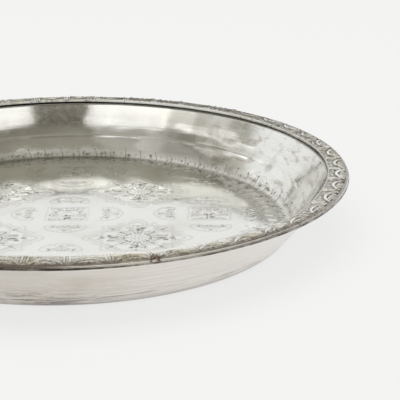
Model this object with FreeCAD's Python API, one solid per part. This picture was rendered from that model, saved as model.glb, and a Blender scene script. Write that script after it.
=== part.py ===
"""Round engraved tray with an applied cast rim.

The tray is one raised sheet: a flat floor, a rounded cove, a leaning wall and a
narrow flat flange whose edge is folded under as a hem. Short cast strips lie end to
end on the flange, soldered down, and carry a relief of bars, swags and shells that
repeats round the rim. Solder also fills the butt joints between the strips.

Millimetres, +Z up. The origin is the middle of the flat underside that the tray
rests on.
"""
import FreeCAD, Part
import math
import os
from FreeCAD import Vector

# ---- Dish: one sheet of copper, raised and planished ------------------------
RIM_DIAMETER = 400.0     # across the hemmed edge of the flange
FLANGE_HEIGHT = 40.8     # from the table to the flat top of the flange
FLOOR_DIAMETER = 304.0   # flat part of the floor
SHEET = 1.2              # thickness of the sheet
COVE_RADIUS = 14.0       # between floor and wall, on the underside
FLANGE_WIDTH = 13.0      # flat flange, from its crease underneath to its outer edge
HEM_WIDTH = 4.7          # how far the folded edge goes back under the flange

# ---- Cast rim strips: section, heights from the castings' underside ----------
CASTING_WIDTH = 15.0     # from the inner edge to the outer edge
CASTING_SETBACK = 0.8    # the castings stop this far inside the hem
LAND_WIDTH = 2.1         # plain land along the inner edge
LAND_HEIGHT = 2.1
GROUND_HEIGHT = 1.6      # sunk ground that the relief stands on
BEAD_WIDTH = 2.0         # plain bead along the outer edge
BEAD_HEIGHT = 2.7
RELIEF_LAP = 0.3         # how far the relief is rooted in ground, land and bead

# ---- Cast rim strips: repeats and lengths -------------------------------------
REPEATS = 48             # motifs round the rim
REPEATS_PER_CASTING = 5  # motifs on a full casting; the closing casting has the rest
BEFORE_CLOSING = 4       # full castings laid before the closing one
FIRST_JOINT = 290.4      # direction of the first butt joint, degrees from +X
JOINT_GAP = 0.5          # between the ends of two castings, filled with solder

# ---- Cast rim strips: the motif ------------------------------------------------
BAR_SPACING = 3.0        # between the centre lines of a pair of bars
BAR_WIDTH = 1.2
BAR_LENGTH = 6.4
BAR_HEIGHT = 3.0
SWAG_GAP = 1.3           # between the end of the swag and the nearest bar
SWAG_DROP = 5.9          # from the bead to the middle of the swag
SWAG_WIDTH = 1.8         # at its middle; the ends are pointed
SWAG_HEIGHT = 3.6
SWAG_SIDES = 4           # flat facets along each edge of the swag
SHELL_LENGTH = 3.7       # shell inside the swag, from the bead to its tip
SHELL_SPREAD = 4.4       # from its middle to its side
SHELL_BOW = 1.1          # how far its sides bow out
SHELL_SIDES = 2          # flat facets along each side
SHELL_HEIGHT = 3.3
TIP_GAP = 0.5            # between a pointed tip and the bead


def arc(start, middle, end):
    return Part.Arc(start, middle, end).toShape()


def line(start, end):
    return Part.makeLine(start, end)


def section_point(radius, height):
    """A point of a section, which lies in the XZ plane."""
    return Vector(radius, 0, height)


def toward(centre, radius, angle):
    """The point of a circle in the section, at an angle in degrees from outward."""
    turn = math.radians(angle)
    return centre + Vector(radius * math.cos(turn), 0, radius * math.sin(turn))


def revolved(edges, degrees=360.0, start=0.0):
    """Turn a closed section about Z, from one direction through an angle."""
    face = Part.Face(Part.Wire(edges))
    solid = face.revolve(Vector(0, 0, 0), Vector(0, 0, 1), degrees)
    solid.rotate(Vector(0, 0, 0), Vector(0, 0, 1), start)
    return solid


# ---- Dish ----------------------------------------------------------------------
def wall_slope():
    """Slope of the wall, in radians: it touches the cove and ends at the flange."""
    run = RIM_DIAMETER / 2 - FLANGE_WIDTH - FLOOR_DIAMETER / 2
    rise = FLANGE_HEIGHT - SHEET - COVE_RADIUS
    return math.atan2(rise, run) + math.asin(COVE_RADIUS / math.hypot(run, rise))


def sheet_side(offset):
    """One face of the sheet from the floor to the crease at the flange.

    The offset goes from the underside into the sheet. The crease moves along the
    bisector of wall and flange, so that the wall keeps its thickness.
    """
    slope = wall_slope()
    cove = section_point(FLOOR_DIAMETER / 2, COVE_RADIUS)
    radius = COVE_RADIUS - offset
    wall_angle = math.degrees(slope) - 90.0
    floor_edge = toward(cove, radius, -90.0)
    cove_middle = toward(cove, radius, (wall_angle - 90.0) / 2)
    wall_foot = toward(cove, radius, wall_angle)
    crease_radius = RIM_DIAMETER / 2 - FLANGE_WIDTH - offset * math.tan(slope / 2)
    crease = section_point(crease_radius, FLANGE_HEIGHT - SHEET + offset)
    edges = [arc(floor_edge, cove_middle, wall_foot), line(wall_foot, crease)]
    return floor_edge, edges, crease


def make_dish():
    """Floor, cove, wall and hemmed flange as one turned sheet."""
    under_floor, under, under_flange = sheet_side(0.0)
    top_floor, top, top_flange = sheet_side(SHEET)
    rim = RIM_DIAMETER / 2
    fold = FLANGE_HEIGHT - SHEET
    hem_root = section_point(rim - HEM_WIDTH, fold)
    hem_lip = section_point(rim - HEM_WIDTH, fold - SHEET)
    nose_under = section_point(rim, fold - SHEET)
    nose_top = section_point(rim, FLANGE_HEIGHT)
    axis_under = section_point(0, 0)
    axis_top = section_point(0, SHEET)
    edges = [line(axis_under, under_floor)]
    edges += under
    edges += [
        line(under_flange, hem_root),
        line(hem_root, hem_lip),
        line(hem_lip, nose_under),
        line(nose_under, nose_top),
        line(nose_top, top_flange),
    ]
    edges += reversed(top)
    edges += [line(top_floor, axis_top), line(axis_top, axis_under)]
    return revolved(edges)


# ---- Cast rim --------------------------------------------------------------------
PITCH = 360.0 / REPEATS
CASTING_OUT = RIM_DIAMETER / 2 - CASTING_SETBACK
CASTING_IN = CASTING_OUT - CASTING_WIDTH
GROUND_IN = CASTING_IN + LAND_WIDTH
GROUND_OUT = CASTING_OUT - BEAD_WIDTH
GROUND_MIDDLE = (GROUND_IN + GROUND_OUT) / 2
GAP_ANGLE = math.degrees(JOINT_GAP / GROUND_MIDDLE)


def casting_section():
    """Section of a casting without its relief: land, sunk ground and bead."""
    foot = section_point(CASTING_IN, FLANGE_HEIGHT)
    land_in = section_point(CASTING_IN, FLANGE_HEIGHT + LAND_HEIGHT)
    land_out = section_point(GROUND_IN, FLANGE_HEIGHT + LAND_HEIGHT)
    ground_in = section_point(GROUND_IN, FLANGE_HEIGHT + GROUND_HEIGHT)
    ground_out = section_point(GROUND_OUT, FLANGE_HEIGHT + GROUND_HEIGHT)
    bead_in = section_point(GROUND_OUT, FLANGE_HEIGHT + BEAD_HEIGHT)
    bead_out = section_point(CASTING_OUT, FLANGE_HEIGHT + BEAD_HEIGHT)
    heel = section_point(CASTING_OUT, FLANGE_HEIGHT)
    return Part.makePolygon([foot, land_in, land_out, ground_in, ground_out,
                             bead_in, bead_out, heel, foot])


def on_band(radius, along):
    """A point in plan, at a radius and a distance along the middle of the band."""
    turn = along / GROUND_MIDDLE
    return Vector(radius * math.cos(turn), radius * math.sin(turn), 0)


def bowed(start, end, bow, sides):
    """Points from start to end along an arc that bows to the left, in flat facets."""
    side = Vector(start.y - end.y, end.x - start.x, 0).normalize()
    middle = (start + end) / 2 + side * bow
    return Part.Arc(start, middle, end).discretize(sides + 1)


def bar_outline(along):
    """Parallel bar across the inner half of the band."""
    inner = GROUND_IN - RELIEF_LAP
    outer = GROUND_IN + BAR_LENGTH
    half = BAR_WIDTH / 2
    corners = [
        on_band(inner, along - half),
        on_band(outer, along - half),
        on_band(outer, along + half),
        on_band(inner, along + half),
    ]
    return Part.makePolygon(corners + corners[:1])


def swag_outline():
    """Crescent that hangs from the bead between two pairs of bars."""
    half_pitch = math.radians(PITCH / 2) * GROUND_MIDDLE
    reach = half_pitch - (BAR_SPACING + BAR_WIDTH) / 2 - SWAG_GAP
    start = on_band(GROUND_OUT - TIP_GAP, -reach)
    end = on_band(GROUND_OUT - TIP_GAP, reach)
    drop = SWAG_DROP - (GROUND_OUT - start.x)
    inner = bowed(start, end, drop + SWAG_WIDTH / 2, SWAG_SIDES)
    outer = bowed(end, start, SWAG_WIDTH / 2 - drop, SWAG_SIDES)
    return Part.makePolygon(inner + outer[1:])


def shell_outline():
    """Pointed shell inside the swag, rooted in the bead."""
    tip = on_band(GROUND_OUT - SHELL_LENGTH, 0)
    one = on_band(GROUND_OUT + RELIEF_LAP, SHELL_SPREAD)
    other = on_band(GROUND_OUT + RELIEF_LAP, -SHELL_SPREAD)
    sides = bowed(tip, one, SHELL_BOW, SHELL_SIDES)
    sides += bowed(other, tip, SHELL_BOW, SHELL_SIDES)
    return Part.makePolygon(sides)


def raised(outline, height):
    """A form of the relief, from inside the ground up to its own height."""
    foot = GROUND_HEIGHT - RELIEF_LAP
    form = Part.Face(outline).extrude(Vector(0, 0, height - foot))
    form.translate(Vector(0, 0, FLANGE_HEIGHT + foot))
    return form


def motif():
    """Every raised form of one repeat, which is centred on +X."""
    half_pitch = math.radians(PITCH / 2) * GROUND_MIDDLE
    bar_at = half_pitch - BAR_SPACING / 2
    return [
        raised(bar_outline(-bar_at), BAR_HEIGHT),
        raised(bar_outline(bar_at), BAR_HEIGHT),
        raised(swag_outline(), SWAG_HEIGHT),
        raised(shell_outline(), SHELL_HEIGHT),
    ]


def turned(shape, degrees):
    copy = shape.copy()
    copy.rotate(Vector(0, 0, 0), Vector(0, 0, 1), degrees)
    return copy


def make_casting(repeats, forms):
    """A strip of whole repeats that starts at +X and runs anticlockwise."""
    length = repeats * PITCH
    body = revolved(casting_section().Edges, length - GAP_ANGLE, GAP_ANGLE / 2)
    relief = []
    for index in range(repeats):
        relief += [turned(form, (index + 0.5) * PITCH) for form in forms]
    return body.fuse(relief).removeSplitter().Solids[0]


# ---- Solder ------------------------------------------------------------------------
def make_solder_joint(direction):
    """Solder that fills the gap between two castings, up to the land and the bead."""
    corners = [
        section_point(CASTING_IN, FLANGE_HEIGHT),
        section_point(CASTING_IN, FLANGE_HEIGHT + LAND_HEIGHT),
        section_point(CASTING_OUT, FLANGE_HEIGHT + BEAD_HEIGHT),
        section_point(CASTING_OUT, FLANGE_HEIGHT),
    ]
    outline = Part.makePolygon(corners + corners[:1])
    return revolved(outline.Edges, GAP_ANGLE, direction - GAP_ANGLE / 2)


def main():
    os.makedirs("parts", exist_ok=True)
    make_dish().exportStep("parts/dish.step")

    forms = motif()
    full_count = (REPEATS - 1) // REPEATS_PER_CASTING
    closing_repeats = REPEATS - full_count * REPEATS_PER_CASTING
    full = make_casting(REPEATS_PER_CASTING, forms)
    closing = make_casting(closing_repeats, forms)
    strips = []
    for index in range(full_count):
        strips.append(("rim_casting_%d" % (index + 1), full, REPEATS_PER_CASTING))
    strips.insert(BEFORE_CLOSING, ("rim_closing_casting", closing, closing_repeats))

    # The strips lie end to end, each one from a butt joint to the next.
    direction = FIRST_JOINT
    joints = []
    for name, strip, repeats in strips:
        turned(strip, direction).exportStep("parts/%s.step" % name)
        joints.append(make_solder_joint(direction))
        direction += repeats * PITCH
    Part.makeCompound(joints).exportStep("parts/solder_joints.step")


main()
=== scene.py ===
# %% [markdown]
# # Silver-plated tray with an engraved floor and a cast rim
# The real object is a deep round serving tray. A copper sheet is raised into a dish,
# planished, plated with silver and engraved. Its flange carries a border of short cast
# strips, soldered end to end. Here each of those pieces becomes one closed mesh, worked
# out with numpy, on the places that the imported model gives.

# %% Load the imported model
import math
import bpy
import numpy as np
from mathutils import Matrix, Vector
from mathutils.geometry import delaunay_2d_cdt


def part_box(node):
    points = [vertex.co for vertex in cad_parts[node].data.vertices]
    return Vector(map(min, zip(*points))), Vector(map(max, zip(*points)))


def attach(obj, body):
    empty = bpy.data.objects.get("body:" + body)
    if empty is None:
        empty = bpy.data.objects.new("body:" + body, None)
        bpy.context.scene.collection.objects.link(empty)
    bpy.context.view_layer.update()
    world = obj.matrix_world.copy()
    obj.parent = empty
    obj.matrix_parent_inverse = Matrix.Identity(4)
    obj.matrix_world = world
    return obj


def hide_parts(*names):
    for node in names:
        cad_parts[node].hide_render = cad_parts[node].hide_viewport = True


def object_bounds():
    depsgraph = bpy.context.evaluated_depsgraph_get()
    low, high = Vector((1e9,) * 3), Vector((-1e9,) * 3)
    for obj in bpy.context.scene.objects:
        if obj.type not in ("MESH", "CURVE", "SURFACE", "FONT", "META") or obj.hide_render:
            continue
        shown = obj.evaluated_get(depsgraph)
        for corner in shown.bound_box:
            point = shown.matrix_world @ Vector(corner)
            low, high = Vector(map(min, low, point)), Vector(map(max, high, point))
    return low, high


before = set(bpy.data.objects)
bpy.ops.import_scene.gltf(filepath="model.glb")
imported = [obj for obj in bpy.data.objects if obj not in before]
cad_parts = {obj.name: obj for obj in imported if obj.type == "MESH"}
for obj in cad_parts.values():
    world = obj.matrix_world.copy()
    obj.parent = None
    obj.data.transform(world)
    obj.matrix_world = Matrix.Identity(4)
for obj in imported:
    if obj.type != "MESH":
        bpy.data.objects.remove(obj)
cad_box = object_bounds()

MM = 0.001
print("CAD box in mm:", [[round(v / MM, 2) for v in corner] for corner in cad_box])

# %% [markdown]
# ## Sizes that everything shares
# The rim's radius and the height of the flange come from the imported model. The section
# of the sheet is a maker's drawing: a flat floor, a round cove, a wall that steepens a
# little towards the top, and a flange. Lengths are in millimetres until a mesh is made.

# %% Sizes in millimetres
dish_low, dish_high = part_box("dish")
RIM = min(dish_high[0] - dish_low[0], dish_high[1] - dish_low[1]) / MM / 2 - 0.03
FLANGE_TOP = dish_high[2] / MM
SHEET = 1.2
FLOOR_RADIUS = 155.68
COVE_RADIUS = 6.0
COVE_SLOPE = math.radians(48.84)
WALL_RADIUS = 192.0
BEND_RADIUS = 2.0
HEM_WIDTH = 4.5
TURNS = 640
CASTING_IN, CASTING_OUT = RIM - 15.7, RIM - 0.9
RELIEF_TOP = cad_box[1][2] / MM - 0.02
print("rim radius %.2f, flange top %.2f, relief top %.2f" % (RIM, FLANGE_TOP, RELIEF_TOP))

# %% [markdown]
# ## A bent place in the flange
# The tray was once dropped or leant on. At the front right, from the first joint of the
# rim onwards, the flange leans inwards by a few millimetres, and the castings with it. One
# function says how much lower each point lies. Every piece goes through it, so that
# they stay together.

# %% How far the flange has sunk
SINK_STEPS = ((1.7, -77, -66), (1.7, -52, -41), (-3.4, -32, -14))
SINK_WIDTH, SINK_FROM = 13.5, 12.0


def smooth_step(value, low, high):
    """0 below low and 1 above high, with 3 t^2 - 2 t^3 in between."""
    t = np.clip((value - low) / (high - low), 0, 1)
    return t * t * (3 - 2 * t)


def sunk(points):
    """Height lost in mm: smooth steps (mm, from, to) over the direction, times a share.

    The share is full at the flange's inner edge. It falls evenly to nothing at the
    outer edge, and with the square of the height down the wall.
    """
    x, y, z = points.T
    direction = np.degrees(np.arctan2(y, x))
    loss = sum(height * smooth_step(direction, low, high) for height, low, high in SINK_STEPS)
    outwards = np.clip((RIM - 2.0 - np.hypot(x, y)) / SINK_WIDTH, 0, 1)
    upwards = np.clip((z - SINK_FROM) / (FLANGE_TOP - SINK_FROM), 0, 1)
    return loss * outwards * upwards ** 2


print("the flange sinks by at most %.1f mm" % sunk(np.array([[148.0, -111.0, FLANGE_TOP]]))[0])

# %% [markdown]
# ## Helpers for meshes
# A surface is an array of points, and faces are rows of point numbers. One helper puts
# them into a mesh in metres, another stores a number for each point, which the
# materials read as an attribute.

# %% Mesh helpers
def add_piece(name, points, faces, sharp_angle=None):
    """Object from points in mm (N x 3) and faces (lists of point numbers)."""
    mesh = bpy.data.meshes.new(name)
    points = np.array(points, dtype=float)
    points[:, 2] -= sunk(points)
    mesh.from_pydata((points * MM).tolist(), [], faces)
    mesh.validate()
    mesh.polygons.foreach_set("use_smooth", np.ones(len(mesh.polygons), dtype=bool))
    if sharp_angle is not None:
        mesh.set_sharp_from_angle(angle=math.radians(sharp_angle))
    mesh.update()
    piece = bpy.data.objects.new(name, mesh)
    bpy.context.scene.collection.objects.link(piece)
    print(name, len(mesh.vertices), "points", len(mesh.polygons), "faces")
    return piece


def add_numbers(piece, name, values):
    """Float attribute on the points of a mesh."""
    layer = piece.data.attributes.new(name, "FLOAT", "POINT")
    layer.data.foreach_set("value", np.asarray(values, dtype=np.float32))


def grid_faces(rows, columns, wrap):
    """Quads of a grid whose points run row by row; wrap joins the last column to the first."""
    across = columns if wrap else columns - 1
    row, column = np.meshgrid(np.arange(rows - 1), np.arange(across), indexing="ij")
    here = row * columns + column
    right = row * columns + (column + 1) % columns
    return np.stack([here, right, right + columns, here + columns], axis=-1).reshape(-1, 4)


def around(r, angle, *height):
    """Points at a radius and an angle, (r cos a, r sin a), with a height if one is given."""
    return np.stack([r * np.cos(angle), r * np.sin(angle), *height], axis=-1)


def waves(x, y, seed, size, count=7):
    """Smooth unevenness from -1 to 1: a mean of sine waves in random directions.

    Each wave has a length near the given size, a random direction and phase.
    """
    rng = np.random.default_rng(seed)
    total = np.zeros_like(x)
    for _ in range(count):
        angle, phase = rng.uniform(0, 2 * math.pi, 2)
        number = 2 * math.pi / (size * rng.uniform(0.7, 1.4))
        total += np.sin(number * (x * math.cos(angle) + y * math.sin(angle)) + phase)
    return total / math.sqrt(count)


print("a grid of 3 by 4 points has", len(grid_faces(3, 4, False)), "faces")

# %% [markdown]
# ## Section of the sheet
# The sheet has one section all round, so it is a profile carried round the axis. The
# underside is drawn from arcs: the cove, the wall and the bend at the flange, each
# tangent to the next. The inner face is the same curve offset by the thickness.

# %% Section functions
WALL_CENTRE = np.array([
    FLOOR_RADIUS + (COVE_RADIUS - WALL_RADIUS) * math.sin(COVE_SLOPE),
    COVE_RADIUS - (COVE_RADIUS - WALL_RADIUS) * math.cos(COVE_SLOPE)])
BEND_Z = FLANGE_TOP - SHEET - BEND_RADIUS
TOP_SLOPE = math.acos((WALL_CENTRE[1] - BEND_Z) / (WALL_RADIUS + BEND_RADIUS))
BEND_R = WALL_CENTRE[0] + (WALL_RADIUS + BEND_RADIUS) * math.sin(TOP_SLOPE)


def sheet_curve(offset, cove_rows, wall_rows, bend_rows):
    """Section from the floor's edge to the flange, as radius and height.

    Each arc is its centre plus its radius times (sin, -cos) of the slope, and the
    slope runs from 0 to 49 degrees in the cove, on to about 62 up the wall, and back
    to 0 over the bend, whose centre lies on the other side of the sheet.
    """
    cove = np.linspace(0, COVE_SLOPE, cove_rows)
    wall = np.linspace(COVE_SLOPE, TOP_SLOPE, wall_rows + 1)[1:]
    bend = np.linspace(TOP_SLOPE, 0, bend_rows + 1)[1:]
    r = np.concatenate([
        FLOOR_RADIUS + (COVE_RADIUS - offset) * np.sin(cove),
        WALL_CENTRE[0] + (WALL_RADIUS - offset) * np.sin(wall),
        BEND_R - (BEND_RADIUS + offset) * np.sin(bend)])
    z = np.concatenate([
        COVE_RADIUS - (COVE_RADIUS - offset) * np.cos(cove),
        WALL_CENTRE[1] - (WALL_RADIUS - offset) * np.cos(wall),
        BEND_Z + (BEND_RADIUS + offset) * np.cos(bend)])
    return r, z


print("wall slope at the top: %.1f degrees" % math.degrees(TOP_SLOPE))

# %% [markdown]
# ## The engraver's strokes
# A graver is a small V-shaped chisel: the deeper it goes, the wider it cuts. So a stroke
# is a line with a width, and the depth follows from the width. Each stroke starts and
# ends as a point, unless it closes on itself. Lines are collected here as points in the
# unrolled plane of the sheet, and cut into the metal all at once further down. Real
# strokes are about half as wide: these are drawn coarser so that they still show.

# %% Stroke helpers
DEEP, LINE, FAINT = (0.62, 0.95), (0.42, 0.6), (0.30, 0.38)
SOFT, GROUND = (3.20, 0.19), (3.20, 0.12)
V_DEPTH = 0.5
strokes = []


def cubic(points, per_gap=3, closed=False):
    """Smooth line through points: a Catmull-Rom curve, a cubic between each two."""
    p = np.asarray(points, dtype=float)
    if closed:
        p = np.concatenate([p[-1:], p, p[:2]])
    else:
        p = np.concatenate([2 * p[:1] - p[1:2], p, 2 * p[-1:] - p[-2:-1]])
    t = np.linspace(0, 1, per_gap, endpoint=False)[None, :, None]
    a, b, c, d = (p[i:len(p) - 3 + i][:, None, :] for i in range(4))
    curve = 0.5 * (2 * b + (c - a) * t + (2 * a - 5 * b + 4 * c - d) * t ** 2
                   + (3 * b - a - 3 * c + d) * t ** 3)
    curve = curve.reshape(-1, 2)
    return np.concatenate([curve, curve[:1] if closed else p[-2:-1]])


def symmetric(*points):
    """Smooth line through points at the left, the last on the axis, and their images."""
    left = np.array(points, dtype=float)
    return cubic(np.concatenate([left, left[-2::-1] * [-1, 1]]))


def square(half):
    """Closed square with a point in the middle of each side."""
    return half * np.array([(-1, -1), (0, -1), (1, -1), (1, 0), (1, 1), (0, 1), (-1, 1),
                            (-1, 0), (-1, -1)], dtype=float)


def bow(x, y, radius, start, end, steps=15):
    """Arc of a circle between two directions in degrees."""
    return around(radius, np.radians(np.linspace(start, end, steps))) + [x, y]


def curl(x, y, radius, start, turn_by, tight=0.25, steps=12):
    """Scroll: a spiral whose radius shrinks evenly to a share of its start."""
    share = np.linspace(0, 1, steps)
    a = np.radians(start + turn_by * share)
    return around(radius * (1 - (1 - tight) * share), a) + [x, y]


def leaf(x0, y0, x1, y1, swell):
    """Closed leaf between two points: a sine bulge to each side of its middle line."""
    t = np.linspace(0, 1, 7)
    along = np.array([x1 - x0, y1 - y0])
    side = np.array([-along[1], along[0]]) / np.hypot(*along)
    middle = np.array([x0, y0]) + t[:, None] * along
    bulge = (swell * np.sin(math.pi * t ** 0.85))[:, None] * side
    return np.concatenate([middle + bulge, (middle - bulge)[-2::-1]])


def hatch(x0, y0, x1, y1, length, angle, count):
    """Short parallel strokes whose middles lie evenly on a line."""
    mid = np.linspace([x0, y0], [x1, y1], count)
    half = 0.5 * length * around(1.0, math.radians(angle))
    return [np.array([m - half, m, m + half]) for m in mid]


def mirrored(lines):
    """The same lines and their mirror images in the upright axis."""
    return lines + [line * [-1, 1] for line in lines]


def turned(lines, degrees):
    """Lines turned anticlockwise about the middle of their panel."""
    a = math.radians(degrees)
    matrix = np.array([[math.cos(a), math.sin(a)], [-math.sin(a), math.cos(a)]])
    return [line @ matrix for line in lines]


print("a curl has", len(curl(0, 0, 1.5, 0, 300)), "points")

# %% [markdown]
# ## Motifs of the floor
# The pattern is a traditional one, of straps, eight-pointed stars and small panels, laid
# out on a lattice. A motif is drawn once, round its own middle, as groups of lines that
# share a weight: deep accents, plain lines, wide soft outlines and faint shading. The star
# holds a rosette of split petals, and the small panel a bud on its stem with two scrolls.
# Half-round lobes stand on its four sides. Petals are shaded with fine parallel strokes,
# as an engraver does.

# %% Motif: lobe
def line_count(motif):
    """Number of lines in a motif."""
    return sum(len(lines) for lines, _ in motif)


def lobe():
    """Half-round field with a double outline, a wavy base and a curled leaf inside."""
    outline = symmetric((-8, 0), (-13.4, 0.6), (-14.6, 4.5), (-10.5, 11.5), (0, 15.5))
    second = symmetric((-8.5, 1.9), (-12.2, 2.4), (-12.6, 4.8), (-9, 10), (0, 13.4))
    base = symmetric((-8.2, 0.3), (-4.6, 1.8), (0, 0.2))
    crown = symmetric((-8.5, 4.2), (-4.8, 6.8), (-1.6, 5.4), (0, 8.2))
    curls = [curl(-3.4, 8.9, 1.5, 0, 300), curl(3.4, 8.9, 1.5, 180, -300)]
    shade = hatch(-6.0, 3.7, 6.0, 3.7, 1.9, 70, 8) + hatch(-7.5, 12.0, 7.5, 12.0, 1.4, 90, 6)
    accents = [symmetric((-2.4, 2.2), (0, 3.4)), leaf(-0.2, 9.6, 0.2, 12.2, 0.7)]
    return [(accents, DEEP), ([base, crown], LINE), ([outline], SOFT),
            ([second] + curls + shade, FAINT)]


print("lines in a lobe:", line_count(lobe()))


# %% Motif: small panel with a bud
def bud_panel():
    """Square field, 31 mm across: bud on a stem, two scrolls above, two leaves below."""
    bud = symmetric((-3.6, -5.5), (-4.6, -1.5), (-3.0, 3), (0, 4.8))
    dots = [leaf(-7.2, 9.4, -5.4, 8.2, 0.8), leaf(-8.2, 3.4, -9.4, 5.2, 0.6),
            leaf(-4.4, 8.8, -3.4, 6.8, 0.5)]
    scroll = [curl(-7.8, 6.8, 4.4, 265, -330, 0.3)]
    low = [
        cubic([(-4.0, -3), (-6.6, -0.8), (-9.4, 0.6), (-13.2, 0.2)]),
        cubic([(-1.3, -13.2), (-4.8, -10.2), (-8.4, -9.6), (-12, -11.4)]),
        cubic([(-1.6, -7), (-5.6, -5), (-10.2, -6), (-13.2, -3.6)]),
        np.array([(-1.3, 12.6), (-1.5, 10), (-1.3, 7.6)]),
    ]
    stem = [np.array([(-1.9, -11), (-1.5, -7), (-1.0, -3.2)]),
            np.array([(1.9, -9), (1.4, -6), (1.0, -3.6)])]
    shade = mirrored(hatch(-12.2, -13.2, -4, -13.2, 1.9, 70, 5)
                     + hatch(-12.4, 13.0, -5, 13.0, 1.7, 100, 5)
                     + hatch(-12.0, -2.2, -7, -2.8, 1.8, 80, 4))
    return [(mirrored(dots) + stem, DEEP), ([bud] + mirrored(scroll + low), LINE),
            ([square(15.2)], GROUND), (shade, FAINT)]


print("lines in a small panel:", line_count(bud_panel()))


# %% Motif: eight-pointed star with a rosette
def star_panel():
    """Star of two squares 49 mm across, round a rosette of eight split petals."""
    soft = [square(24.5)] + turned([square(24.5) * 0.99], 45)
    deep, plain, faint = [], [], []
    petal = symmetric((-1.4, 7.8), (-4.4, 11.5), (-4.7, 15.2), (-2.0, 18.6), (0, 21.0))
    shade = mirrored(hatch(-1.4, 10.8, -2.4, 16.0, 2.6, 20, 5))
    tip = [leaf(0, 22.6, 0, 26.4, 0.7)] + mirrored([leaf(-1.4, 8.2, -2.6, 10.2, 0.6)])
    for step in range(8):
        plain += turned([leaf(0, 1.2, 0, 6.4, 1.6), petal], 45 * step)
        faint += turned(shade, 45 * step)
        deep += turned(tip + [np.array([(0, 9.2), (0, 13), (0, 17)])], 45 * step)
    arch = symmetric((-6.2, 25.5), (-7.0, 30.5), (-4.0, 36), (0, 38.2))
    arch_in = symmetric((-3.2, 26.2), (-3.7, 29.6), (-2.1, 32.8), (0, 34))
    corner = cubic([(10, 9.5), (14, 13.5), (18, 18.6), (20.5, 20.6)])
    for step in range(4):
        plain += turned([arch_in, corner], 90 * step)
        soft += turned([arch], 90 * step)
        faint += turned(hatch(14.0, 20.0, 20.0, 14.0, 2.4, 45, 5), 90 * step)
        deep += turned(hatch(-20.4, 2.0, -14.0, 2.0, 2.4, 90, 5), 90 * step)
        plain += turned(hatch(-20.0, -4.6, -14.0, -4.6, 1.6, 60, 4), 90 * step)
    return [(deep, DEEP), (plain, LINE), (soft, SOFT), (faint, FAINT)]


print("lines in a star:", line_count(star_panel()))

# %% [markdown]
# ## Laying out the pattern
# Stars and small panels alternate on a lattice 103.5 mm wide, and plain polished straps
# run between them. An engraver works by eye, so the lattice stands a little askew, its
# lines are warped by a fraction of a millimetre, and each motif is turned by a degree. The
# field stops at a circle, and short radial strokes fringe it.

# %% Place the motifs
LATTICE, LAYOUT_TURN = 103.5, 1.7
PANEL_X, PANEL_Y = -2.0, 12.5
LOBE_OUT = 25.0
FIELD, WHOLE_TRAY = 139.0, 200.0
STRAP_IN, STRAP_OUT = 45.0, 48.0
hand = np.random.default_rng(7)


def by_hand(points):
    """Warp of the whole layout: slow waves, about a third of a millimetre high."""
    x, y = points[:, 0], points[:, 1]
    return points + 0.35 * np.stack([waves(x, y, 11, 22.0), waves(x, y, 12, 22.0)], axis=-1)


def add_stroke(points, weight, limit=FIELD):
    """Keep the parts of a line inside the field, and store each with its width and tone."""
    points = by_hand(points)
    inside = np.hypot(points[:, 0], points[:, 1]) < limit
    edges = np.flatnonzero(np.diff(np.concatenate([[0], inside.astype(int), [0]])))
    for first, last in zip(edges[::2], edges[1::2]):
        if last - first >= 2:
            strokes.append((points[first:last], weight[0] * hand.uniform(0.85, 1.15), weight[1]))


def place(motif, x, y, degrees=0.0):
    """Turn a motif a little by hand, move it, and store its lines."""
    slant = degrees + hand.normal(0, 0.8)
    for lines, weight in motif:
        for line in turned(lines, slant):
            add_stroke(line + [x, y], weight)


steps = [(i, j) for i in range(-2, 3) for j in range(-2, 3)]
panel_places, star_places = (
    turned([np.array(steps, dtype=float) * LATTICE + offset], LAYOUT_TURN)[0] + [PANEL_X, PANEL_Y]
    for offset in (0.0, [LATTICE / 2, -LATTICE / 2]))
for x, y in panel_places:
    place(bud_panel(), x, y, LAYOUT_TURN)
    for degrees in (0, 90, 180, 270):
        a = math.radians(degrees + LAYOUT_TURN)
        place(lobe(), x - LOBE_OUT * math.sin(a), y + LOBE_OUT * math.cos(a), degrees + LAYOUT_TURN)
for x, y in star_places:
    place(star_panel(), x, y, LAYOUT_TURN)
print(len(strokes), "strokes in the field")

# %% Straps between the panels
for x, y in panel_places:
    for step in range(4):
        middle = 45.0 + 90.0 * step + LAYOUT_TURN
        for radius in (STRAP_IN, STRAP_OUT):
            add_stroke(bow(x, y, radius, middle - 17, middle + 17), SOFT)
print(len(strokes), "strokes with the straps")

# %% Fringe of the field, and tongues on the cove
def radial(angle, start, end, sway=0.0):
    """Stroke along a radius, with a slight sideways sway."""
    r = np.linspace(start, end, max(4, int((end - start) / 2)))
    a = np.radians(angle) + sway * np.sin(np.linspace(0, math.pi, len(r))) / r
    return around(r, a)


def polar(angle, points):
    """Line whose points are (distance out, distance sideways), along one radius."""
    out, side = np.asarray(points, dtype=float).T
    return around(out, math.radians(angle) + side / out)


def on_cove(line, weight):
    """Stroke that may leave the field."""
    add_stroke(line, weight, WHOLE_TRAY)


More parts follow.
